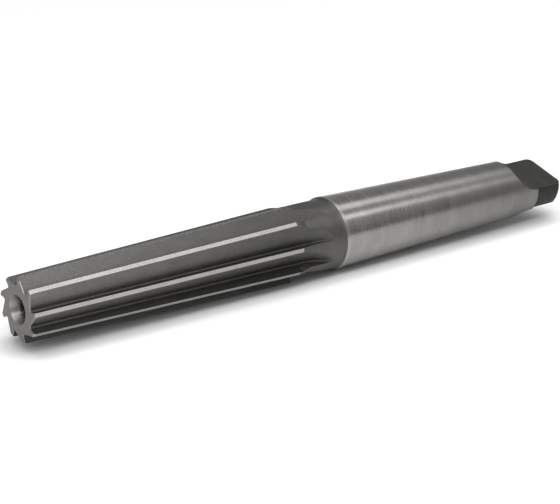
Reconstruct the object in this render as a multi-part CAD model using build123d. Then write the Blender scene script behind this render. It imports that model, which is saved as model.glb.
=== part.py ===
from build123d import *
import os
from math import atan2, cos, degrees, radians, sin, sqrt, tan

# Finishing reamer for No. 3 Morse taper sockets, held by a No. 3 taper shank with a tang.
# It is one piece of steel: straight teeth, a plain neck, a ground shank and a flat tang.
# Lengths are in millimetres. It lies on its side as on a bench: the nose points to -X, the tang
# to +X, one tooth up, two teeth and the collar down, and the bench is z = 0.
# The functions below shape it about the local Z axis, with the nose face at z = 0.

# Taper, the same on the teeth and on the shank
TAPER = 1 / 19.922  # diameter gained for each mm of length
GAUGE_D = 23.825  # diameter at the gauge line, the large end of a No. 3 socket

# Cutting head
CUT_LENGTH = 96.0
NOSE_TO_GAUGE = 76.0  # from the nose face to the head's gauge line
TEETH = 9
LAND_WIDTH = 1.25  # ground strip behind each cutting edge
LAND_RELIEF = 7.0  # degrees that the land falls away from the cutting edge
FLUTE_DEPTH = 2.8  # at the nose; it grows along the head, so that the lands keep their width
GULLET_R = 0.5  # round at the root of each flute
FLUTE_PAST = 0.5  # how far each flute runs on past the lands before the cutter lifts out
CUTTER_D = 63.0  # milling cutter, which leaves its arc where each flute runs out
CUTTER_LIFT = 60.0  # degrees of that arc, more than enough to clear the neck
BEVEL_LENGTH = 0.8  # lead at the nose, along the axis
BEVEL_DEPTH = 0.3
BACK_SLOPE_LENGTH = 3.0  # fall of the tooth crests from the lands to the neck

# Neck and collar
NECK_LENGTH = 17.0  # from the ends of the lands to the shank
NECK_STEP = 0.55  # how far the neck lies below the collar, on the radius
NECK_FILLET = 2.0
COLLAR_LENGTH = 1.3  # turned band that is left dark
GRIND_RUNOUT = 1.7  # where the grinding wheel leaves the shank

# Shank and tang
SHANK_LENGTH = 99.0  # from the collar's edge to the end of the tang
SHANK_TO_GAUGE = 5.0  # from the collar's edge to the shank's gauge line
TANG_LENGTH = 12.0  # turned end, and the level part of the flats
TANG_STEP = 0.6  # how far the turned end lies below the end of the cone, on the radius
TANG_FILLET = 1.5
TANG_THICKNESS = 7.9
TANG_RUNOUT_R = 10.0
TANG_CORNER_R = 2.0
TANG_TURN = 15.0  # degrees about the axis from straight up to the upper flat's normal

# Centre holes, in which the tool is held between points to be ground
CENTRE_ANGLE = 60.0
DRILL_POINT_ANGLE = 120.0
PILOT_RATIO = 1.25  # pilot length below the cone, as a share of the pilot's diameter
NOSE_CENTRE_D = 9.0
NOSE_PILOT_D = 4.0
TANG_CENTRE_D = 5.3
TANG_PILOT_D = 2.5

# Worked out from the sizes above
SHANK_START = CUT_LENGTH + NECK_LENGTH
LENGTH = SHANK_START + SHANK_LENGTH
PITCH = 360 / TEETH
OVERCUT = 1.0  # how far each cutting solid runs past the metal
FLUTE_SPREAD = 1.4  # width of the flute's cutting solid, as a share of the way to the heel


def head_radius(z):
    """Radius over the cutting edges, at a distance from the nose."""
    return GAUGE_D / 2 + (z - NOSE_TO_GAUGE) * TAPER / 2


def shank_radius(z):
    """Radius of the shank's cone, at a distance from the nose."""
    return GAUGE_D / 2 - (z - SHANK_START - SHANK_TO_GAUGE) * TAPER / 2


COLLAR_R = shank_radius(SHANK_START)
NECK_R = COLLAR_R - NECK_STEP
TANG_START = LENGTH - TANG_LENGTH
TANG_R = shank_radius(TANG_START) - TANG_STEP
NOSE_R = head_radius(0)
HEAD_R = head_radius(CUT_LENGTH)


def heel(radius):
    """Back corner of the land before this tooth, seen from this tooth's cutting edge.

    The first number runs outwards through the edge, and the second one along the round.
    """
    relief, pitch = radians(LAND_RELIEF), radians(PITCH)
    out = radius - LAND_WIDTH * sin(relief)
    back = LAND_WIDTH * cos(relief)
    return out * cos(pitch) + back * sin(pitch), back * cos(pitch) - out * sin(pitch)


# The back of each tooth is one plane. Its angle to the cutting face follows from the nose,
# and the root at the head's large end lies where that plane still meets the heel of the land.
NOSE_ROOT_R = NOSE_R - FLUTE_DEPTH
NOSE_HEEL = heel(NOSE_R)
BACK_ANGLE = atan2(-NOSE_HEEL[1], NOSE_HEEL[0] - NOSE_ROOT_R)
HEAD_HEEL = heel(HEAD_R)
HEAD_ROOT_R = HEAD_HEEL[0] + HEAD_HEEL[1] / tan(BACK_ANGLE)


def fillet_run(radius, step):
    """How far a fillet reaches along a turned diameter, at the foot of a step of this height."""
    return sqrt(radius**2 - (radius - step) ** 2)


def blank():
    """Turned and ground blank, before its flutes and flats are milled."""
    neck_fillet = max(NECK_FILLET, NECK_STEP)
    tang_fillet = max(TANG_FILLET, TANG_STEP)
    cone_start = SHANK_START + COLLAR_LENGTH + GRIND_RUNOUT
    head = Polyline(
        (0, 0),
        (NOSE_R - BEVEL_DEPTH, 0),
        (head_radius(BEVEL_LENGTH), BEVEL_LENGTH),
        (HEAD_R, CUT_LENGTH),
        (NECK_R, CUT_LENGTH + BACK_SLOPE_LENGTH),
        (NECK_R, SHANK_START - fillet_run(neck_fillet, NECK_STEP)),
    )
    up_to_collar = RadiusArc(head @ 1, (COLLAR_R, SHANK_START), neck_fillet)
    shank = Polyline(
        up_to_collar @ 1,
        (COLLAR_R, SHANK_START + COLLAR_LENGTH),
        (shank_radius(cone_start), cone_start),
        (shank_radius(TANG_START), TANG_START),
    )
    tang_foot = (TANG_R, TANG_START + fillet_run(tang_fillet, TANG_STEP))
    down_to_tang = RadiusArc(shank @ 1, tang_foot, tang_fillet)
    tang = Line(tang_foot, (TANG_R, LENGTH - TANG_CORNER_R))
    corner = RadiusArc(tang @ 1, (TANG_R - TANG_CORNER_R, LENGTH), -TANG_CORNER_R)
    end = Polyline(corner @ 1, (0, LENGTH), (0, 0))
    outline = make_face([head, up_to_collar, shank, down_to_tang, tang, corner, end])
    return revolve(Plane.XZ * outline, Axis.Z)


def flute_cutter():
    """Metal that the milling cutter takes out in front of one cutting edge at local +X.

    It runs straight from the nose to just past the land, then lifts out over the neck.
    """
    height = HEAD_R - HEAD_ROOT_R + OVERCUT
    out = FLUTE_SPREAD * (HEAD_HEEL[0] - HEAD_ROOT_R)
    back = FLUTE_SPREAD * HEAD_HEEL[1]
    profile = make_face(Polyline((0, 0), (height, 0), (height, back), (out, back), close=True))
    root = profile.vertices().sort_by_distance((0, 0, 0))[0]
    profile = fillet(root, GULLET_R)
    tilt = atan2(HEAD_ROOT_R - NOSE_ROOT_R, CUT_LENGTH)
    run = extrude(profile, -(CUT_LENGTH / cos(tilt) + FLUTE_PAST + 2 * OVERCUT))
    lift = revolve(profile, Axis((CUTTER_D / 2, 0, 0), (0, 1, 0)), CUTTER_LIFT)
    along = Pos(HEAD_ROOT_R, 0, CUT_LENGTH) * Rot(0, degrees(tilt), 0)
    return along * Pos(0, 0, FLUTE_PAST) * (run + lift)


def land_grind():
    """Metal that is ground off behind one cutting edge at local +X, to give it relief."""
    relief = radians(LAND_RELIEF)
    width = LAND_WIDTH + OVERCUT
    back = (-width * sin(relief), width * cos(relief))
    profile = make_face(Polyline((0, 0), back, (OVERCUT, back[1]), (OVERCUT, 0), close=True))
    tilt = atan2(HEAD_R - NOSE_R, CUT_LENGTH)
    strip = extrude(profile, -(CUT_LENGTH / cos(tilt) + 2 * OVERCUT))
    strip += extrude(profile, OVERCUT)
    return Pos(HEAD_R, 0, CUT_LENGTH) * Rot(0, degrees(tilt), 0) * strip


def centre_hole(mouth_d, pilot_d):
    """Countersunk centre hole that goes in along +Z from z = 0."""
    cone_depth = (mouth_d - pilot_d) / 2 / tan(radians(CENTRE_ANGLE / 2))
    pilot_end = cone_depth + PILOT_RATIO * pilot_d
    point = pilot_d / 2 / tan(radians(DRILL_POINT_ANGLE / 2))
    flare = mouth_d / 2 + OVERCUT * tan(radians(CENTRE_ANGLE / 2))
    outline = Polyline(
        (0, -OVERCUT),
        (flare, -OVERCUT),
        (pilot_d / 2, cone_depth),
        (pilot_d / 2, pilot_end),
        (0, pilot_end + point),
        close=True,
    )
    return revolve(Plane.XZ * make_face(outline), Axis.Z)


def flat_cutter():
    """Metal that is milled off one side of the tang, at local +X, with its round run-out."""
    flat = TANG_THICKNESS / 2
    run_out_end = (flat + TANG_RUNOUT_R, TANG_START - TANG_RUNOUT_R)
    run_out = RadiusArc((flat, TANG_START), run_out_end, -TANG_RUNOUT_R)
    top = COLLAR_R + TANG_RUNOUT_R
    rest = Polyline(
        run_out_end,
        (top, run_out_end[1]),
        (top, LENGTH + OVERCUT),
        (flat, LENGTH + OVERCUT),
        (flat, TANG_START),
    )
    return extrude(Plane.XZ * make_face([run_out, rest]), top, both=True)


def reamer():
    """The whole tool, with the nose face at z = 0 and its axis on local Z."""
    # Local +X points down once the tool lies on its side. It rests on one cutting edge and on
    # the heel of the land before it, so the teeth are turned until those two are level.
    lowest_edge = degrees(atan2(HEAD_R - HEAD_HEEL[0], -HEAD_HEEL[1]))
    edges = [lowest_edge + i * PITCH for i in range(TEETH)]
    flute, grind = flute_cutter(), land_grind()
    tool = blank()
    tool -= [Rot(0, 0, edge) * flute for edge in edges]
    tool -= [Rot(0, 0, edge) * grind for edge in edges]
    flat = flat_cutter()
    tool -= [Rot(0, 0, TANG_TURN + side) * flat for side in (0, 180)]
    tool -= centre_hole(NOSE_CENTRE_D, NOSE_PILOT_D)
    tool -= Pos(0, 0, LENGTH) * Rot(180, 0, 0) * centre_hole(TANG_CENTRE_D, TANG_PILOT_D)
    return tool


def main():
    os.makedirs("parts", exist_ok=True)
    lying = Pos(-LENGTH / 2, 0, COLLAR_R) * Rot(0, 90, 0) * reamer()
    export_step(lying, "parts/reamer.step")


main()
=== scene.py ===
from math import acos, atan2, cos, inf, pi, radians, sin, sqrt, tan

import bmesh
import bpy
from mathutils import Matrix, Vector


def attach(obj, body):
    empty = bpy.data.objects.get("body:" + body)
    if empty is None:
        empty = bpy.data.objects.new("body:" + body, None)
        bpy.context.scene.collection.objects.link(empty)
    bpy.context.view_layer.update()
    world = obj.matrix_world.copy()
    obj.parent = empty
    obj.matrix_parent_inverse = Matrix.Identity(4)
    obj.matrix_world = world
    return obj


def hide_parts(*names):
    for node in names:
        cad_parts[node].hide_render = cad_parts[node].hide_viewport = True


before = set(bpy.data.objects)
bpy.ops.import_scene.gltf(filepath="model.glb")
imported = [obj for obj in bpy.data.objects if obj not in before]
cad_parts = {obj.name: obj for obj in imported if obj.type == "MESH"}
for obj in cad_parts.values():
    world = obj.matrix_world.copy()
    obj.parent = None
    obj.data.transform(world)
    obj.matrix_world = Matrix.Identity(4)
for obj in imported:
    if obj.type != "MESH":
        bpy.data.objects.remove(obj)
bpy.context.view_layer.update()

# A finishing reamer for No. 3 taper sockets, lying on its side, nose to -X and tang to +X.
# Sizes are in millimetres, as in the part's source. s is the distance from the nose face.
MM = 1000  # millimetres in a metre
TAPER = 1 / 19.922
GAUGE_D = 23.825
CUT_END = 96.0
LAND_END = 95.1  # where the bright finish of the lands stops
NOSE_TO_GAUGE = 76.0
TEETH = 9
LAND_WIDTH = 1.25
RELIEF = radians(7)
FLUTE_DEPTH = 2.8
GULLET_R = 0.5
FLUTE_PAST = 0.5
CUTTER_R = 31.5
BEVEL_LENGTH, BEVEL_DEPTH = 0.8, 0.3
SLOPE_END = 99.0
NECK_STEP, NECK_FILLET = 0.55, 2.0
SHANK_START = 113.0
COLLAR_END = 114.3
GRIND_START = 116.0
TANG_START = 200.0
LENGTH = 212.0
SHANK_TO_GAUGE = 5.0
TANG_STEP, TANG_FILLET = 0.6, 1.5
HALF_TANG = 3.95
TANG_RUNOUT_R = 10.0
TANG_CORNER_R = 2.0
TANG_TURN = radians(15)
NOSE_CENTRE = (4.5, 2.0, 5.0)  # mouth radius, pilot radius, pilot length
TANG_CENTRE = (2.65, 1.25, 3.125)
HALF_CENTRE_ANGLE, HALF_POINT_ANGLE = radians(30), radians(60)
NOSE_DEBURR = 0.2  # stoned edge round the star of the nose face
PITCH = radians(360 / TEETH)

# Columns of points round one tooth, from its cutting edge on: land, back, gullet, cutting face
LAND_COLUMNS, BACK_COLUMNS, GULLET_COLUMNS, FACE_COLUMNS = 10, 6, 5, 3
COLUMNS = LAND_COLUMNS + BACK_COLUMNS + GULLET_COLUMNS + FACE_COLUMNS
ROUND_COLUMNS = TEETH * COLUMNS
STEP = PITCH / COLUMNS
FLAT_COLUMNS = 39  # each way from the middle of a tang's flat to its long edges

# Rings of points along the tool
HEAD_RINGS, SLOPE_RINGS, SCALLOP_RINGS, NECK_RINGS = 24, 6, 30, 6
RING_RINGS, SHANK_RINGS = 3, 24
CONE_RINGS, FOOT_RINGS, TANG_RINGS, CORNER_RINGS = 5, 5, 6, 9
RELIEF_RUN = 0.36  # past the land, where its relief has died out in the slope
EVENING_RUN = 2.2  # past the flutes' tips, over which the points even out round the neck
PHASE_RUN = 40.0  # along the shank, over which the columns turn to suit the tang
RUNOUT_MARGIN = 0.4  # from the shank's last plain ring to the flats' run-outs
HAIR = 1e-4  # a length too small to show


def head_radius(s):
    return GAUGE_D / 2 + (s - NOSE_TO_GAUGE) * TAPER / 2


def shank_radius(s):
    return GAUGE_D / 2 - (s - SHANK_START - SHANK_TO_GAUGE) * TAPER / 2


def heel(radius):
    """Back corner of the land before a tooth, seen from that tooth's cutting edge."""
    out, back = radius - LAND_WIDTH * sin(RELIEF), LAND_WIDTH * cos(RELIEF)
    return out * cos(PITCH) + back * sin(PITCH), back * cos(PITCH) - out * sin(PITCH)


def fillet_run(radius, step):
    """How far a fillet reaches along a turned diameter, at the foot of a step."""
    return sqrt(radius**2 - (radius - step) ** 2)


def fillet_rise(run, radius):
    return radius - sqrt(radius**2 - max(run, 0) ** 2)


AXIS_HEIGHT = shank_radius(SHANK_START)
NECK_R = AXIS_HEIGHT - NECK_STEP
NECK_END = SHANK_START - fillet_run(NECK_FILLET, NECK_STEP)
TANG_R = shank_radius(TANG_START) - TANG_STEP
TANG_FOOT_END = TANG_START + fillet_run(TANG_FILLET, TANG_STEP)
TANG_CORNER = LENGTH - TANG_CORNER_R
NOSE_R, HEAD_R = head_radius(0), head_radius(CUT_END)
NOSE_ROOT = NOSE_R - FLUTE_DEPTH
BACK_ANGLE = atan2(-heel(NOSE_R)[1], heel(NOSE_R)[0] - NOSE_ROOT)
BACK_REACH = 1.15 * -heel(HEAD_R)[1] / sin(BACK_ANGLE)  # along the back, past the heel
HEAD_ROOT = heel(HEAD_R)[0] + heel(HEAD_R)[1] / tan(BACK_ANGLE)
FLOOR_TILT = atan2(HEAD_ROOT - NOSE_ROOT, CUT_END)
FIRST_EDGE = atan2(HEAD_R - heel(HEAD_R)[0], -heel(HEAD_R)[1])
GULLET_START = GULLET_R / tan(BACK_ANGLE / 2)  # where the gullet's round leaves each side


def blank_radius(s):
    """Radius of the turned blank over the head, the neck and the collar."""
    if s < BEVEL_LENGTH:
        foot = NOSE_R - BEVEL_DEPTH
        return foot + (head_radius(BEVEL_LENGTH) - foot) * s / BEVEL_LENGTH
    if s <= CUT_END:
        return head_radius(s)
    if s < SLOPE_END:
        return HEAD_R + (NECK_R - HEAD_R) * (s - CUT_END) / (SLOPE_END - CUT_END)
    return NECK_R + fillet_rise(s - NECK_END, NECK_FILLET)


def turned(point, angle):
    x, y = point
    return x * cos(angle) - y * sin(angle), x * sin(angle) + y * cos(angle)


def blend(a, b, t):
    return a[0] + (b[0] - a[0]) * t, a[1] + (b[1] - a[1]) * t


def between(a, b, count):
    return [a + (b - a) * (i + 1) / count for i in range(count)]


def bisect(inside, outside, test, rounds=40):
    """Last value, on the way from inside to outside, for which the test still holds."""
    for _ in range(rounds):
        middle = (inside + outside) / 2
        if test(middle):
            inside = middle
        else:
            outside = middle
    return inside


def cutter_profile(q):
    """Point (height, side) of the flute cutter: q is -1 at the heel, 0 to 1 round the gullet."""
    if q > 0:
        turn = (pi - BACK_ANGLE) * (1 - q)
        return GULLET_START - GULLET_R * sin(turn), GULLET_R * cos(turn) - GULLET_R
    reach = GULLET_START + (BACK_REACH - GULLET_START) * -q
    return reach * cos(BACK_ANGLE), -reach * sin(BACK_ANGLE)


def floor_at(q, s, rounds=6):
    """Point of a flute's floor at s. Past the lands the floor rises on the cutter's arc."""
    height, side = cutter_profile(q)
    rise = height
    for _ in range(rounds):
        along = (s - CUT_END + rise * sin(FLOOR_TILT)) / cos(FLOOR_TILT) - FLUTE_PAST
        rise = CUTTER_R - sqrt((CUTTER_R - height) ** 2 - max(along, 0) ** 2)
    out = HEAD_ROOT + rise * cos(FLOOR_TILT) + (FLUTE_PAST + along) * sin(FLOOR_TILT)
    return out, side


def below(q, s):
    """How far the flute's floor lies below the blank, along the radius."""
    x, y = floor_at(q, s)
    return blank_radius(s) - sqrt(x * x + y * y)


LAND_REACH = radians(20)  # the land's plane counts this far past the edge
RELIEF_END = CUT_END + 1  # and this far along the tool


def land_limit(angle, s):
    """Radius of the ground land at an angle past the cutting edge."""
    if s > RELIEF_END or angle > LAND_REACH:
        return inf
    return head_radius(s) * cos(RELIEF) / cos(angle - RELIEF)


def open_at(q, s):
    x, y = floor_at(q, s)
    return sqrt(x * x + y * y) < min(blank_radius(s), land_limit(PITCH + atan2(y, x), s))


def lowest_point(s, samples):
    """How deep the flute's gullet lies at s, and the q of its deepest point."""
    return max((below(i / samples, s), i / samples) for i in range(samples + 1))


FLUTE_TIP = bisect(SLOPE_END, SHANK_START, lambda s: lowest_point(s, 20)[0] > 0)


def tooth_columns(s):
    """One pitch of the section at s, in the frame of its tooth, from the cutting edge on."""
    lowest = lowest_point(s, 40)[1]
    q_back = bisect(lowest, -1.0, lambda q: open_at(q, s))
    q_face = 1.0 if open_at(1.0, s) else bisect(lowest, 1.0, lambda q: open_at(q, s))
    back_end = turned(floor_at(q_back, s), PITCH)
    face_foot = floor_at(q_face, s)
    edge = (min(blank_radius(s), land_limit(0, s)), 0.0) if q_face == 1.0 else face_foot
    first, last = atan2(edge[1], edge[0]), atan2(back_end[1], back_end[0])
    points = [edge]
    for i in range(1, LAND_COLUMNS):
        angle = first + (last - first) * i / LAND_COLUMNS
        r = min(blank_radius(s), land_limit(angle, s))
        points.append((r * cos(angle), r * sin(angle)))
    q_gullet = min(max(q_back, 0.0), q_face)
    floor = [q_back + (q_gullet - q_back) * i / BACK_COLUMNS for i in range(BACK_COLUMNS)]
    floor += [q_gullet + (q_face - q_gullet) * i / GULLET_COLUMNS for i in range(GULLET_COLUMNS)]
    points += [turned(floor_at(q, s), PITCH) for q in floor]
    for i in range(FACE_COLUMNS):
        points.append(turned(blend(face_foot, edge, i / FACE_COLUMNS), PITCH))
    return points


def all_round(columns, first_angle=FIRST_EDGE):
    return [turned(p, first_angle + i * PITCH) for i in range(TEETH) for p in columns]


def circle(radius, first_angle=FIRST_EDGE):
    columns = [(radius * cos(i * STEP), radius * sin(i * STEP)) for i in range(COLUMNS)]
    return all_round(columns, first_angle)


def inset(outline, width, least_lean=0.3):
    """The outline moved inwards by a width, corner by corner. Sharp corners move less far."""
    corners = [Vector(corner) for corner in outline]
    moved = []
    for i, here in enumerate(corners):
        before, after = corners[i - 1], corners[i + 1 - len(corners)]
        into, out_of = (here - before).normalized(), (after - here).normalized()
        normal = Vector((-into.y - out_of.y, into.x + out_of.x)).normalized()
        lean = max(normal.dot(Vector((-into.y, into.x))), least_lean)
        moved.append(tuple(here + normal * (width / lean)))
    return moved


def evened(s):
    """Circle past the tips of the flutes, whose points even out over a few millimetres."""
    t = min((s - FLUTE_TIP) / EVENING_RUN, 1.0)
    r = blank_radius(s)
    points = []
    for i, (x, y) in enumerate(tooth_columns(FLUTE_TIP - HAIR)):
        angle = atan2(y, x) * (1 - t) + i * STEP * t
        points.append((r * cos(angle), r * sin(angle)))
    return all_round(points)


# The columns turn by part of a step along the shank, so that one lies in the middle of each flat.
SHANK_PHASE = TANG_TURN + round((FIRST_EDGE - TANG_TURN) / STEP) * STEP
FIRST_TANG_COLUMN = round((SHANK_PHASE - TANG_TURN) / STEP)


def tang_column(i):
    """Column's place from the middle of its flat, and which flat that is."""
    half, quarter = ROUND_COLUMNS // 2, ROUND_COLUMNS // 4
    k = FIRST_TANG_COLUMN + i + quarter
    return k % half - quarter, (k // half) % 2


def tang_section(radius, flat, snapped):
    """Circle with the two flats. Past the run-outs the flats' corners stay on one column."""
    corner = acos(min(flat / radius, 1.0))
    points = []
    for i in range(ROUND_COLUMNS):
        k, side = tang_column(i)
        angle = k * STEP
        if snapped and abs(k) <= FLAT_COLUMNS:
            angle = corner * k / FLAT_COLUMNS
        elif snapped:
            t = (abs(k) - FLAT_COLUMNS) / (ROUND_COLUMNS // 4 - FLAT_COLUMNS)
            angle = (corner + (pi / 2 - corner) * t) * (1 if k > 0 else -1)
        r = radius if abs(angle) > corner else min(radius, flat / cos(angle))
        points.append(turned((r * cos(angle), r * sin(angle)), TANG_TURN + side * pi))
    return points


def tang_flat(s):
    """Distance of the flats from the axis, with their round run-outs into the cone."""
    reach = max(TANG_START - s, 0)
    return HALF_TANG + fillet_rise(min(reach, TANG_RUNOUT_R), TANG_RUNOUT_R)


def tang_radius(s):
    if s <= TANG_START:
        return shank_radius(s)
    if s < TANG_FOOT_END:
        return TANG_R + fillet_rise(TANG_FOOT_END - s, TANG_FILLET)
    return TANG_R - fillet_rise(s - TANG_CORNER, TANG_CORNER_R)


def runout_rings():
    """Distances at which a flat's corners fall on one column after another."""
    onset = bisect(TANG_START, TANG_START - TANG_RUNOUT_R,
                   lambda s: tang_flat(s) < shank_radius(s))
    return [onset] + [bisect(TANG_START, onset,
                             lambda s: acos(tang_flat(s) / shank_radius(s)) > k * STEP)
                      for k in range(1, FLAT_COLUMNS + 1)]


def centre_hole(face, into, sizes, first_angle):
    """Rings of a centre hole from its mouth inwards, and the names of the bands between them."""
    mouth, pilot, length = sizes
    depth = (mouth - pilot) / tan(HALF_CENTRE_ANGLE)
    steps = [(mouth + (pilot - mouth) * i / CONE_RINGS, depth * i / CONE_RINGS)
             for i in range(CONE_RINGS + 1)]
    bottom = depth + length
    steps += [(pilot, bottom), (10 * HAIR, bottom + pilot / tan(HALF_POINT_ANGLE))]
    names = ["centre cone"] * CONE_RINGS + ["pilot", "drill point"]
    return [(face + into * z, circle(r, first_angle)) for r, z in steps], names


NOSE_HOLE_TURN = radians(5.5)  # lines the hole's columns up with the star of the nose face


def sections():
    """Rings of points from the bottom of the nose's hole to the bottom of the tang's.

    The names are those of the bands between one ring and the next.
    """
    rings, names = centre_hole(0.0, 1, NOSE_CENTRE, FIRST_EDGE + NOSE_HOLE_TURN)
    rings.reverse()
    names.reverse()

    def add(name, s, points):
        names.append(name)
        rings.append((s, points))

    add("nose face", 0.0, inset(all_round(tooth_columns(0.0)), NOSE_DEBURR))
    add("deburr", NOSE_DEBURR, all_round(tooth_columns(NOSE_DEBURR)))
    add("bevel", BEVEL_LENGTH, all_round(tooth_columns(BEVEL_LENGTH)))
    for s in between(BEVEL_LENGTH, LAND_END, HEAD_RINGS):
        add("head", s, all_round(tooth_columns(s)))
    add("crest end", CUT_END, all_round(tooth_columns(CUT_END)))
    past = CUT_END + RELIEF_RUN
    for s in [past] + between(past, SLOPE_END, SLOPE_RINGS):
        add("slope", s, all_round(tooth_columns(s)))
    for s in between(SLOPE_END, FLUTE_TIP - HAIR, SCALLOP_RINGS):
        add("neck", s, all_round(tooth_columns(s)))
    plain_neck = between(FLUTE_TIP, NECK_END, NECK_RINGS)
    for s in plain_neck + between(NECK_END, SHANK_START, NECK_RINGS):
        add("neck", s, evened(s))
    add("collar", COLLAR_END, circle(AXIS_HEIGHT))
    for s in between(COLLAR_END, GRIND_START, RING_RINGS):
        t = (s - COLLAR_END) / (GRIND_START - COLLAR_END)
        add("ring", s, circle(AXIS_HEIGHT + (shank_radius(GRIND_START) - AXIS_HEIGHT) * t))
    runouts = runout_rings()
    for s in between(GRIND_START, runouts[0] - RUNOUT_MARGIN, SHANK_RINGS):
        t = min((s - GRIND_START) / PHASE_RUN, 1.0)
        add("shank", s, circle(shank_radius(s), FIRST_EDGE + (SHANK_PHASE - FIRST_EDGE) * t))
    for s in runouts:
        add("run-out", s, tang_section(shank_radius(s), tang_flat(s), False))
    stops = [("run-out", TANG_START)]
    stops += [("tang foot", s) for s in between(TANG_START, TANG_FOOT_END, FOOT_RINGS)]
    stops += [("tang side", s) for s in between(TANG_FOOT_END, TANG_CORNER, TANG_RINGS)]
    stops += [("tang corner", TANG_CORNER + TANG_CORNER_R * sin(radians(90 / CORNER_RINGS * i)))
              for i in range(1, CORNER_RINGS + 1)]
    for name, s in stops:
        add(name, s, tang_section(tang_radius(s), HALF_TANG, True))
    hole, bands = centre_hole(LENGTH, -1, TANG_CENTRE, SHANK_PHASE)
    for name, (s, points) in zip(["tang end"] + bands, hole):
        add(name, s, points)
    return rings, names


def row_point(x, y, s):
    return Vector(((s - LENGTH / 2) / MM, y / MM, (AXIS_HEIGHT - x) / MM))


def is_flat(point, s):
    """True for a point on one of the tang's flats or their run-outs."""
    return abs(turned(point, -TANG_TURN)[0]) > tang_flat(s) - HAIR


FINISH_OF_BAND = {
    "drill point": "centre hole", "pilot": "centre hole", "centre cone": "centre hole",
    "nose face": "nose face", "deburr": "stoned edge", "bevel": "ground land",
    "head": "ground land", "crest end": "milled flute", "slope": "milled flute",
    "neck": "turned neck", "collar": "ground ring", "ring": "ground shank",
    "shank": "ground shank", "run-out": "ground shank", "tang foot": "tang side",
    "tang side": "tang side", "tang corner": "tang side", "tang end": "tang side",
}
FLUTED_BANDS = ("bevel", "head", "crest end", "slope", "neck")
FLAT_BANDS = ("run-out", "tang foot", "tang side", "tang corner")
JOIN, SLIVER = 2e-6, 1e-7  # points this near to each other are one, and shorter edges go, in m


def finish_of(band, column, middle, flat):
    """Material of one face, and the name of the smooth surface it belongs to."""
    if flat:
        return "tang flat", "flat"
    in_tooth = column % COLUMNS
    cut = in_tooth >= LAND_COLUMNS and middle < FLUTE_TIP
    if cut and band in FLUTED_BANDS:
        on_face = in_tooth >= COLUMNS - FACE_COLUMNS and middle < CUT_END
        return ("cutting face" if on_face else "milled flute"), "flute"
    return FINISH_OF_BAND[band], band


def build_tool(materials):
    """The whole tool as one closed skin over the rings of points."""
    rings, names = sections()
    bm = bmesh.new()
    surface = bm.faces.layers.int.new("surface")
    surfaces = {}
    finishes = list(materials)

    def add_face(corners, finish, smooth):
        face = bm.faces.new(corners)
        face.material_index = finishes.index(finish)
        face[surface] = surfaces.setdefault(smooth, len(surfaces))
        face.smooth = True

    verts = [[bm.verts.new(row_point(x, y, s)) for x, y in points] for s, points in rings]
    for r, band in enumerate(names):
        middle = (rings[r][0] + rings[r + 1][0]) / 2
        for c in range(ROUND_COLUMNS):
            d = (c + 1) % ROUND_COLUMNS
            square = [(r, c), (r, d), (r + 1, d), (r + 1, c)]
            faces = [square]
            if band == "run-out":
                # A flat's corner runs across the square, which is split along it.
                turn = 1 if tang_column(c)[0] < 0 else 0
                square = square[turn:] + square[:turn]
                faces = [square[:3], [square[0], square[2], square[3]]]
            for face in faces:
                flat = band in FLAT_BANDS and all(
                    is_flat(rings[i][1][j], rings[i][0]) for i, j in face)
                add_face([verts[i][j] for i, j in face], *finish_of(band, c, middle, flat))
    for end in (verts[0], verts[-1]):
        add_face(end, "centre hole", "drill point")
    bmesh.ops.remove_doubles(bm, verts=bm.verts, dist=JOIN)
    bmesh.ops.dissolve_degenerate(bm, edges=bm.edges, dist=SLIVER)
    bmesh.ops.recalc_face_normals(bm, faces=bm.faces)
    for edge in bm.edges:
        edge.smooth = len({face[surface] for face in edge.link_faces}) < 2
    mesh = bpy.data.meshes.new("reamer_tool")
    bm.to_mesh(mesh)
    bm.free()
    for finish in finishes:
        mesh.materials.append(materials[finish])
    tool = bpy.data.objects.new("reamer_tool", mesh)
    bpy.context.scene.collection.objects.link(tool)
    return tool


class Nodes:
    """Adds shader nodes to one tree. Inputs are given as values or as other nodes' sockets."""

    def __init__(self, tree):
        self.tree = tree

    def add(self, kind, inputs=(), **settings):
        node = self.tree.nodes.new("ShaderNode" + kind)
        for name, value in settings.items():
            setattr(node, name, value)
        for key, value in dict(inputs).items():
            if isinstance(value, bpy.types.NodeSocket):
                self.tree.links.new(value, node.inputs[key])
            else:
                node.inputs[key].default_value = value
        return node.outputs

    def effect(self, group, **inputs):
        """Places one of the shared node groups. An input's name has _ for each blank."""
        node = self.tree.nodes.new("ShaderNodeGroup")
        node.node_tree = group
        for key, value in inputs.items():
            socket = node.inputs[key.replace("_", " ")]
            if isinstance(value, bpy.types.NodeSocket):
                self.tree.links.new(value, socket)
            else:
                socket.default_value = value
        return node.outputs


FLOAT, VECTOR, COLOUR = "NodeSocketFloat", "NodeSocketVector", "NodeSocketColor"


def new_group(name, inputs, outputs):
    """Empty shader node group: its Nodes, its inputs' sockets, and a function to set outputs."""
    tree = bpy.data.node_groups.new(name, "ShaderNodeTree")
    for label, kind, value in inputs:
        socket = tree.interface.new_socket(name=label, in_out="INPUT", socket_type=kind)
        socket.default_value = value
    for label, kind in outputs:
        tree.interface.new_socket(name=label, in_out="OUTPUT", socket_type=kind)
    given = tree.nodes.new("NodeGroupInput").outputs
    result = tree.nodes.new("NodeGroupOutput").inputs
    return Nodes(tree), given, lambda label, socket: tree.links.new(socket, result[label])


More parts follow.
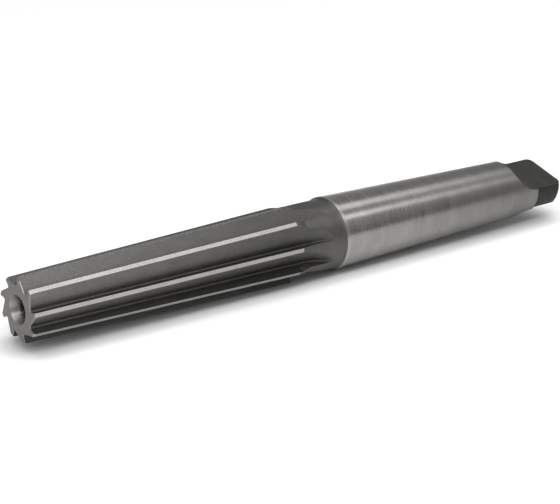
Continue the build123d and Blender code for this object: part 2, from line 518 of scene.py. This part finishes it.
def make_places():
    """Where a point lies, in mm: from the axis, and along and out from it as on a lathe."""
    nodes, _, put = new_group("places on the tool", [], [("Place", VECTOR), ("Lathe", VECTOR)])
    here = nodes.add("TexCoord")["Object"]
    axis = (0, 0, AXIS_HEIGHT / MM)
    moved = nodes.add("VectorMath", {0: here, 1: axis}, operation="SUBTRACT")["Vector"]
    place = nodes.add("VectorMath", {0: moved, "Scale": MM}, operation="SCALE")["Vector"]
    along = nodes.add("SeparateXYZ", {0: place})["X"]
    across = nodes.add("VectorMath", {0: place, 1: (0, 1, 1)}, operation="MULTIPLY")["Vector"]
    radius = nodes.add("VectorMath", {0: across}, operation="LENGTH")["Value"]
    put("Place", place)
    put("Lathe", nodes.add("CombineXYZ", {"X": along, "Y": radius})["Vector"])
    return nodes.tree


NOISE_SPAN = {"From Min": 0.3, "From Max": 0.7}  # where nearly all of a noise's values lie


def make_marks():
    """Uneven marks left by a wheel, a cutter or the bar's own grain: one value, Low to High."""
    nodes, given, put = new_group(
        "tool marks",
        [("Where", VECTOR, (0, 0, 0)), ("Spacing", VECTOR, (1, 1, 1)), ("Low", FLOAT, 0),
         ("High", FLOAT, 1)],
        [("Value", FLOAT)])
    where = nodes.add("VectorMath", {0: given["Where"], 1: given["Spacing"]}, operation="DIVIDE")
    noise = nodes.add("TexNoise", {"Vector": where["Vector"], "Scale": 1, "Detail": 2,
                                   "Roughness": 0.6})["Fac"]
    put("Value", nodes.add("MapRange", {"Value": noise, **NOISE_SPAN, "To Min": given["Low"],
                                        "To Max": given["High"]})["Result"])
    return nodes.tree


def make_rubbed_edges():
    """Mask of the corners that handling has polished."""
    nodes, given, put = new_group(
        "rubbed edges", [("Width", FLOAT, 0.0002), ("Strength", FLOAT, 1)], [("Mask", FLOAT)])
    rounded = nodes.add("Bevel", {"Radius": given["Width"]}, samples=6)["Normal"]
    flat = nodes.add("NewGeometry")["Normal"]
    same = nodes.add("VectorMath", {0: rounded, 1: flat}, operation="DOT_PRODUCT")["Value"]
    put("Mask", nodes.add("MapRange", {"Value": same, "From Min": 0.98, "From Max": 0.8,
                                       "To Min": 0, "To Max": given["Strength"]})["Result"])
    return nodes.tree


def make_tint_with_painted_falloff():
    """The steel's colour under its grain and stains, with painted light and shade that change
    along the tool, and with bright edges.
    """
    nodes, given, put = new_group(
        "steel tint with painted light falloff",
        [("Colour", COLOUR, (0.3, 0.3, 0.3, 1)), ("Grain", FLOAT, 1), ("Stain", FLOAT, 1),
         ("Place", VECTOR, (0, 0, 0)), ("Start", FLOAT, -106), ("End", FLOAT, 106),
         ("At Start", FLOAT, 1), ("At End", FLOAT, 1),
         ("Rubbed", FLOAT, 0), ("Edge Colour", COLOUR, (0.5, 0.49, 0.475, 1))],
        [("Colour", COLOUR)])
    shade = nodes.add("Math", {0: given["Grain"], 1: given["Stain"]}, operation="MULTIPLY")
    along = nodes.add("SeparateXYZ", {0: given["Place"]})["X"]
    # Painted light and shade: the colour is scaled up or down along the tool.
    painted_falloff = nodes.add("MapRange", {"Value": along, "From Min": given["Start"],
                                  "From Max": given["End"], "To Min": given["At Start"],
                                  "To Max": given["At End"]})
    shade = nodes.add("Math", {0: shade["Value"], 1: painted_falloff["Result"]}, operation="MULTIPLY")
    shaded = nodes.add("VectorMath", {0: given["Colour"], "Scale": shade["Value"]},
                       operation="SCALE")["Vector"]
    mixed = nodes.add("Mix", {0: given["Rubbed"], 6: shaded, 7: given["Edge Colour"]},
                      data_type="RGBA")
    put("Colour", mixed[2])
    return nodes.tree


def make_painted_shade():
    """Mask of painted shade in the deep places, with a ragged edge.

    It is full within the Inner distance from the axis at the nose and gone at the Outer one.
    Both grow by Growth for each mm along the tool.
    """
    nodes, given, put = new_group(
        "painted shade in hollows",
        [("Lathe", VECTOR, (0, 0, 0)), ("Inner", FLOAT, 2), ("Outer", FLOAT, 3),
         ("Growth", FLOAT, 0), ("Ragged", FLOAT, 0.3), ("Strength", FLOAT, 1)],
        [("Mask", FLOAT)])
    split = nodes.add("SeparateXYZ", {0: given["Lathe"]})
    along = nodes.add("Math", {0: split["X"], 1: LENGTH / 2}, operation="ADD")["Value"]
    grown = nodes.add("Math", {0: along, 1: given["Growth"]}, operation="MULTIPLY")["Value"]
    level = nodes.add("Math", {0: split["Y"], 1: grown}, operation="SUBTRACT")["Value"]
    here = nodes.add("TexCoord")["Object"]
    noise = nodes.add("TexNoise", {"Vector": here, "Scale": 1500, "Detail": 3})["Fac"]
    rough = nodes.add("MapRange", {"Value": noise, **NOISE_SPAN, "To Min": -1,
                                   "To Max": 1})["Result"]
    rough = nodes.add("Math", {0: rough, 1: given["Ragged"]}, operation="MULTIPLY")["Value"]
    level = nodes.add("Math", {0: level, 1: rough}, operation="ADD")["Value"]
    put("Mask", nodes.add("MapRange", {"Value": level, "From Min": given["Inner"],
                                       "From Max": given["Outer"], "To Min": given["Strength"],
                                       "To Max": 0}, interpolation_type="SMOOTHSTEP")["Result"])
    return nodes.tree


# Very dark colour of the painted shade in the flutes' roots and the centre holes.
PAINTED_SHADE_COLOUR = (0.012, 0.012, 0.011, 1)


def make_materials():
    """The finishes of the tool, each one with its own grain, marks, stains and edges."""
    places, marks = make_places(), make_marks()
    rubbed_edges, tint_with_falloff, hollow_shade = make_rubbed_edges(), make_tint_with_painted_falloff(), make_painted_shade()

    def steel(name, colour, grain, stain, lines, roughness, rubbed, waves=None,
              painted_falloff=(0, LENGTH, 1, 1), rougher=0.0, painted_shade=None, where="Place"):
        """One finish. grain, stain, lines and waves: a spacing in mm and the effect's reach.

        rubbed is the width of the polished corners, in metres, and how bright they are.
        painted_falloff is painted light and shade along the tool: where the colour starts and
        stops to change, and its two levels.
        rougher is what the roughness gains on the way.
        painted_shade is the inner and outer reach of the painted shade in the hollows, its growth,
        raggedness and strength.
        where is the place by which the marks run: Place along and across, Lathe round the axis.
        """
        material = bpy.data.materials.new(name)
        material.use_nodes = True
        nodes = Nodes(material.node_tree)
        shader = material.node_tree.nodes["Principled BSDF"]
        shader.inputs["Metallic"].default_value = 1.0
        here = nodes.effect(places)

        def mark(spacing, low, high):
            return nodes.effect(marks, Where=here[where], Spacing=spacing, Low=low,
                                High=high)["Value"]

        start, end, at_start, at_end = painted_falloff
        edges = nodes.effect(rubbed_edges, Width=rubbed[0], Strength=rubbed[1])["Mask"]
        shade = nodes.effect(
            tint_with_falloff, Colour=(*colour, 1), Place=here["Place"], Rubbed=edges,
            Start=start - LENGTH / 2, End=end - LENGTH / 2, At_Start=at_start, At_End=at_end,
            Grain=mark(grain[0], 1 - grain[1], 1 + grain[1]),
            Stain=mark(stain[0], 1 - stain[1], 1 + stain[1]))["Colour"]
        # Painted shade: the deep places are darkened towards a very dark colour.
        if painted_shade:
            inner, outer, growth, ragged, strength = painted_shade
            mask = nodes.effect(hollow_shade, Lathe=here["Lathe"], Inner=inner, Outer=outer,
                                Growth=growth, Ragged=ragged, Strength=strength)["Mask"]
            shade = nodes.add("Mix", {0: mask, 6: shade, 7: PAINTED_SHADE_COLOUR},
                              data_type="RGBA")[2]
        height = mark(lines[0], -lines[1], lines[1])
        if waves:
            swell = mark(waves[0], -waves[1], waves[1])
            height = nodes.add("Math", {0: height, 1: swell}, operation="ADD")["Value"]
        bump = nodes.add("Bump", {"Height": height, "Distance": 0.001})
        rough = mark(grain[0], *roughness)
        if rougher:
            along = nodes.add("SeparateXYZ", {0: here["Place"]})["X"]
            gain = nodes.add("MapRange", {"Value": along, "From Min": start - LENGTH / 2,
                                          "From Max": end - LENGTH / 2, "To Max": rougher})
            rough = nodes.add("Math", {0: rough, 1: gain["Result"]}, operation="ADD")["Value"]
        nodes.tree.links.new(shade, shader.inputs["Base Color"])
        nodes.tree.links.new(rough, shader.inputs["Roughness"])
        nodes.tree.links.new(bump["Normal"], shader.inputs["Normal"])
        return material

    return {name: steel(name, **values) for name, values in FINISHES.items()}


# Painted shade lies along the flute's root, which moves out from the axis along the head.
ROOT_PAINTED_SHADE = (NOSE_ROOT + 0.1, NOSE_ROOT + 0.9, tan(FLOOR_TILT), 0.1, 0.4)
# painted_falloff paints light and shade along the tool, mostly lighter towards the nose and darker
# towards the tang; in the centre holes it is painted shade deeper in.
FINISHES = {
    "ground land": dict(
        colour=(0.37, 0.36, 0.35), grain=((0.5, 0.3, 0.3), 0.16), stain=((6, 2, 2), 0.06),
        lines=((0.6, 0.4, 0.4), 0.0016), roughness=(0.2, 0.3), rubbed=(0.0001, 0.0),
        painted_falloff=(10, 90, 1.12, 0.9)),
    "stoned edge": dict(
        colour=(0.3, 0.29, 0.28), grain=((0.5, 0.4, 0.4), 0.1), stain=((3, 3, 3), 0.05),
        lines=((0.5, 0.4, 0.4), 0.002), roughness=(0.25, 0.35), rubbed=(0.0001, 0.0)),
    "cutting face": dict(
        colour=(0.086, 0.084, 0.08), grain=((3, 0.3, 0.3), 0.15), stain=((9, 2, 2), 0.1),
        lines=((4, 0.2, 0.2), 0.002), roughness=(0.45, 0.6), rubbed=(0.0002, 0.2),
        painted_falloff=(10, 90, 1.1, 0.8)),
    "milled flute": dict(
        colour=(0.115, 0.1125, 0.107), grain=((0.6, 0.4, 0.4), 0.2), stain=((8, 3, 3), 0.08),
        lines=((0.6, 0.5, 0.5), 0.006), roughness=(0.42, 0.58), rubbed=(0.0002, 0.2),
        painted_falloff=(0, 100, 1.72, 0.98), painted_shade=ROOT_PAINTED_SHADE),
    "turned neck": dict(
        colour=(0.122, 0.1195, 0.114), grain=((0.5, 6, 6), 0.12), stain=((4, 5, 5), 0.08),
        lines=((0.35, 9, 9), 0.003), roughness=(0.4, 0.55), rubbed=(0.0002, 0.15)),
    "ground ring": dict(
        colour=(0.34, 0.33, 0.32), grain=((0.25, 6, 6), 0.1), stain=((2, 3, 3), 0.06),
        lines=((0.2, 8, 8), 0.002), roughness=(0.24, 0.36), rubbed=(0.0002, 0.2)),
    "ground shank": dict(
        colour=(0.26, 0.253, 0.243), grain=((0.5, 8, 8), 0.07), stain=((5, 14, 14), 0.09),
        lines=((0.6, 6, 6), 0.0009), waves=((6, 5, 5), 0.011), roughness=(0.18, 0.28),
        rubbed=(0.0002, 0.1), painted_falloff=(122, 195, 1.1, 0.72), rougher=0.16),
    "tang flat": dict(
        colour=(0.067, 0.0655, 0.0625), grain=((0.5, 0.5, 0.5), 0.14), stain=((4, 4, 4), 0.1),
        lines=((0.6, 0.6, 0.6), 0.008), roughness=(0.48, 0.62), rubbed=(0.0003, 0.2),
        painted_falloff=(195, 201, 1.3, 1)),
    "tang side": dict(
        colour=(0.044, 0.043, 0.041), grain=((0.4, 5, 5), 0.14), stain=((3, 3, 3), 0.1),
        lines=((0.5, 6, 6), 0.006), roughness=(0.48, 0.62), rubbed=(0.0003, 0.25)),
    "nose face": dict(
        colour=(0.173, 0.164, 0.16), grain=((1, 0.35, 1), 0.1), stain=((3, 3, 3), 0.05),
        lines=((1, 0.3, 1), 0.003), roughness=(0.36, 0.5), rubbed=(0.0002, 0.2),
        where="Lathe"),
    # The centre holes get painted shade deeper in, from painted_falloff and painted_shade.
    "centre hole": dict(
        colour=(0.3, 0.289, 0.277), grain=((0.3, 5, 5), 0.12), stain=((2, 2, 2), 0.08),
        lines=((0.3, 5, 5), 0.003), roughness=(0.3, 0.42), rubbed=(0.0002, 0.1),
        painted_falloff=(0.3, 3.6, 1.08, 0.42), painted_shade=(2.75, 3.45, 0, 0.4, 0.95)),
}


PHOTO_WIDTH, FOCAL_LENGTH = 560, 1873.65  # in pixels of the photo


def place_camera():
    """Camera at the photo's viewing angle."""
    data = bpy.data.cameras.new("camera")
    data.sensor_width = 36
    data.lens = FOCAL_LENGTH / PHOTO_WIDTH * data.sensor_width
    data.clip_start, data.clip_end = 0.01, 50
    camera = bpy.data.objects.new("camera", data)
    bpy.context.scene.collection.objects.link(camera)
    forward = Vector((0.582400, 0.732501, -0.352495))
    right = Vector((0.788548, -0.614421, 0.026063))
    up = Vector((0.197489, 0.293138, 0.935451))
    pose = Matrix((right, up, -forward)).transposed().to_4x4()
    pose.translation = Vector((-0.355219, -0.433193, 0.218036))
    camera.matrix_world = pose
    bpy.context.scene.camera = camera


LAMP_DISTANCE = 1.1  # metres from the soft boxes to what they face
STRIP_LENGTH, STRIP_MIDDLE = 2.2, 0.5  # the long soft boxes, and where along X they stand
# Long soft boxes, along the tool: degrees of lean from straight above, width, brightness
STRIPS = {"soft_box_back": (-7, 0.4, 1.6), "soft_box_front": (32, 0.57, 1.95)}
# Small soft boxes, which face the nose: direction, width, length, brightness
PANELS = {"soft_box_left": ((-0.47, -0.42, 0.775), 0.5, 0.55, 1.8),
          "soft_box_nose": ((-0.8, -0.31, 0.51), 0.24, 0.32, 5.5)}
# Brightness of the room at rising heights, from the level of the tool up
ROOM_IN_FRONT = ((0, 0.22), (0.15, 0.31), (0.4, 0.55), (0.7, 0.5))
ROOM_BEHIND = ((0, 0.6), (0.25, 0.44), (0.6, 0.4), (0.9, 0.45))


def soft_box(name, location, width, length, turn, brightness):
    """Soft box that faces the tool. Its length and width run along its own X and Y."""
    data = bpy.data.lights.new(name, "AREA")
    data.shape = "RECTANGLE"
    data.size, data.size_y = length, width
    data.energy = brightness * pi * length * width
    light = bpy.data.objects.new(name, data)
    bpy.context.scene.collection.objects.link(light)
    light.location = location
    light.rotation_euler = turn


def light_studio():
    """Four soft boxes in a pale room that is a little darker in front than behind."""
    world = bpy.data.worlds.new("studio")
    bpy.context.scene.world = world
    world.use_nodes = True
    nodes = Nodes(world.node_tree)
    toward = nodes.add("SeparateXYZ", {0: nodes.add("TexCoord")["Generated"]})
    behind = nodes.add("MapRange", {"Value": toward["Y"], "From Min": -0.2, "From Max": 0.2},
                       interpolation_type="SMOOTHSTEP")["Result"]
    room = []
    for stops in (ROOM_IN_FRONT, ROOM_BEHIND):
        ramp = world.node_tree.nodes.new("ShaderNodeValToRGB")
        while len(ramp.color_ramp.elements) < len(stops):
            ramp.color_ramp.elements.new(0.5)
        for element, (height, level) in zip(ramp.color_ramp.elements, stops):
            element.position, element.color = height, (level, level, level, 1)
        world.node_tree.links.new(toward["Z"], ramp.inputs[0])
        room.append(ramp.outputs[0])
    light = nodes.add("Mix", {0: behind, 6: room[0], 7: room[1]}, data_type="RGBA")[2]
    world.node_tree.links.new(light, world.node_tree.nodes["Background"].inputs[0])
    for name, (lean, width, brightness) in STRIPS.items():
        lean = radians(lean)
        above = (STRIP_MIDDLE, -LAMP_DISTANCE * sin(lean), LAMP_DISTANCE * cos(lean))
        soft_box(name, above, width, STRIP_LENGTH, (-lean, 0, 0), brightness)
    nose = Vector((-LENGTH / 2 / MM, 0, 0))
    for name, (direction, width, length, brightness) in PANELS.items():
        toward = Vector(direction)
        soft_box(name, nose + LAMP_DISTANCE * toward, width, length,
                 toward.to_track_quat("Z", "Y").to_euler(), brightness)


# The paper's glow: its level, and the distances in metres between which it is reached.
# It glows less under and beside the tool, which paints a darker shadow there, also in the tool's
# reflections, and more far off, where the lamps' light falls away.
FLOOR_GLOWS = ({"From Min": 0.006, "From Max": 0.013, "To Max": 0.34},
               {"From Min": 0.6, "From Max": 1.6, "To Max": 0.5})
FLOOR_HALF_SIZE, SHADOW_HALF_LENGTH = 6, 0.1


def make_floor():
    """White paper that keeps the tool's shadow, made darker under and beside the tool by a painted
    shadow.
    """
    mesh = bpy.data.meshes.new("floor")
    bm = bmesh.new()
    bmesh.ops.create_grid(bm, x_segments=1, y_segments=1, size=FLOOR_HALF_SIZE)
    bm.to_mesh(mesh)
    bm.free()
    floor = bpy.data.objects.new("floor", mesh)
    bpy.context.scene.collection.objects.link(floor)
    paper = bpy.data.materials.new("white paper")
    paper.use_nodes = True
    paper.node_tree.nodes.clear()
    nodes = Nodes(paper.node_tree)
    rays = nodes.add("LightPath")
    seen = rays["Is Camera Ray"]
    for kind in ("Is Glossy Ray", "Is Transmission Ray"):
        seen = nodes.add("Math", {0: seen, 1: rays[kind]}, operation="MAXIMUM")["Value"]
    # aside is the distance from the tool's line on the floor.
    aside = nodes.add("VectorMath", {0: nodes.add("NewGeometry")["Position"]},
                      operation="ABSOLUTE")["Vector"]
    for step, by in (("SUBTRACT", (SHADOW_HALF_LENGTH, 0, 0)), ("MAXIMUM", (0, 0, 0))):
        aside = nodes.add("VectorMath", {0: aside, 1: by}, operation=step)["Vector"]
    aside = nodes.add("VectorMath", {0: aside}, operation="LENGTH")["Value"]
    # The first glow is cut close to the tool: a painted shadow on the paper, seen too in the
    # tool's reflections.
    near, far = [nodes.add("MapRange", {"Value": aside, **reach})["Result"]
                 for reach in FLOOR_GLOWS]
    glow = nodes.add("Math", {0: near, 1: far}, operation="ADD")["Value"]
    level = nodes.add("Math", {0: seen, 1: glow}, operation="MULTIPLY")["Value"]
    glow = nodes.add("Emission", {"Strength": level})["Emission"]
    matt = nodes.add("BsdfDiffuse", {"Color": (0.82, 0.82, 0.82, 1)})["BSDF"]
    both = nodes.add("AddShader", {0: matt, 1: glow})["Shader"]
    nodes.add("OutputMaterial", {"Surface": both})
    mesh.materials.append(paper)


def main():
    bpy.context.scene.view_settings.view_transform = "Standard"
    place_camera()
    light_studio()
    make_floor()
    tool = build_tool(make_materials())
    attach(tool, "root")
    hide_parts("reamer")


main()
